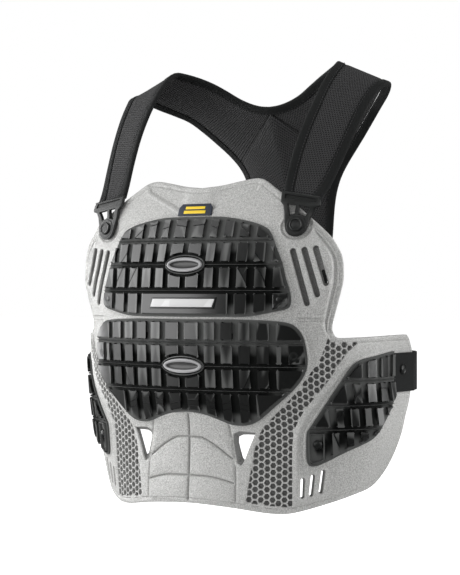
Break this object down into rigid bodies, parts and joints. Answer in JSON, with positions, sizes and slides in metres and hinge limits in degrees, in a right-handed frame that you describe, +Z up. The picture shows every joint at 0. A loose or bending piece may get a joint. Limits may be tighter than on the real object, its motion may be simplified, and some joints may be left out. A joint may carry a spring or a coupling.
{
  "type": "chest protector",
  "caption": "Chest protector of moulded foam with hard tiled plates, side wings, quick buckles, padded shoulder straps with a back yoke, and a waist belt.",
  "frame": {"origin": "midway between the two shoulder straps where they rest on the shoulders", "axes": "+Z up along the wearer's body, -Y out of the chest, +X to the wearer's left, which is the right of the picture"},
  "size_m": [0.4154, 0.2861, 0.5322],
  "materials": {
    "grey_foam": "moulded foam with a fine silvery grain",
    "black_plate_plastic": "semi-gloss",
    "grey_plastic": "satin",
    "white_plastic": "satin",
    "dark_rubber": "matt, textured",
    "black_satin_plastic": "satin",
    "charcoal_mesh": "spacer mesh",
    "black_tape": "matt woven tape",
    "black_elastic": "ribbed elastic webbing",
    "black_cloth": "matt woven cloth"
  },
  "bodies": {
    "root": {"shell": "grey_foam", "upper_plate": "black_plate_plastic", "lower_plate": "black_plate_plastic", "side_plate_left": "black_plate_plastic", "side_plate_right": "black_plate_plastic", "upper_badge": "grey_plastic", "lower_badge": "grey_plastic", "name_bar": "white_plastic", "label_patch": "dark_rubber", "buckle_left": "black_satin_plastic", "buckle_right": "black_satin_plastic", "buckle_rivet_left": "black_satin_plastic", "buckle_rivet_right": "black_satin_plastic", "upper_rivet_left": "black_satin_plastic", "upper_rivet_right": "black_satin_plastic", "lower_screw_left": "black_satin_plastic", "lower_screw_right": "black_satin_plastic", "side_rivet_left": "black_satin_plastic", "side_rivet_right": "black_satin_plastic", "tab_snap_left": "black_satin_plastic", "tab_snap_right": "black_satin_plastic", "harness": "charcoal_mesh", "neck_binding": "black_tape", "arm_binding_left": "black_tape", "arm_binding_right": "black_tape", "waist_belt": "black_elastic", "tab_left": "black_cloth", "tab_right": "black_cloth"}
  },
  "joints": []
}
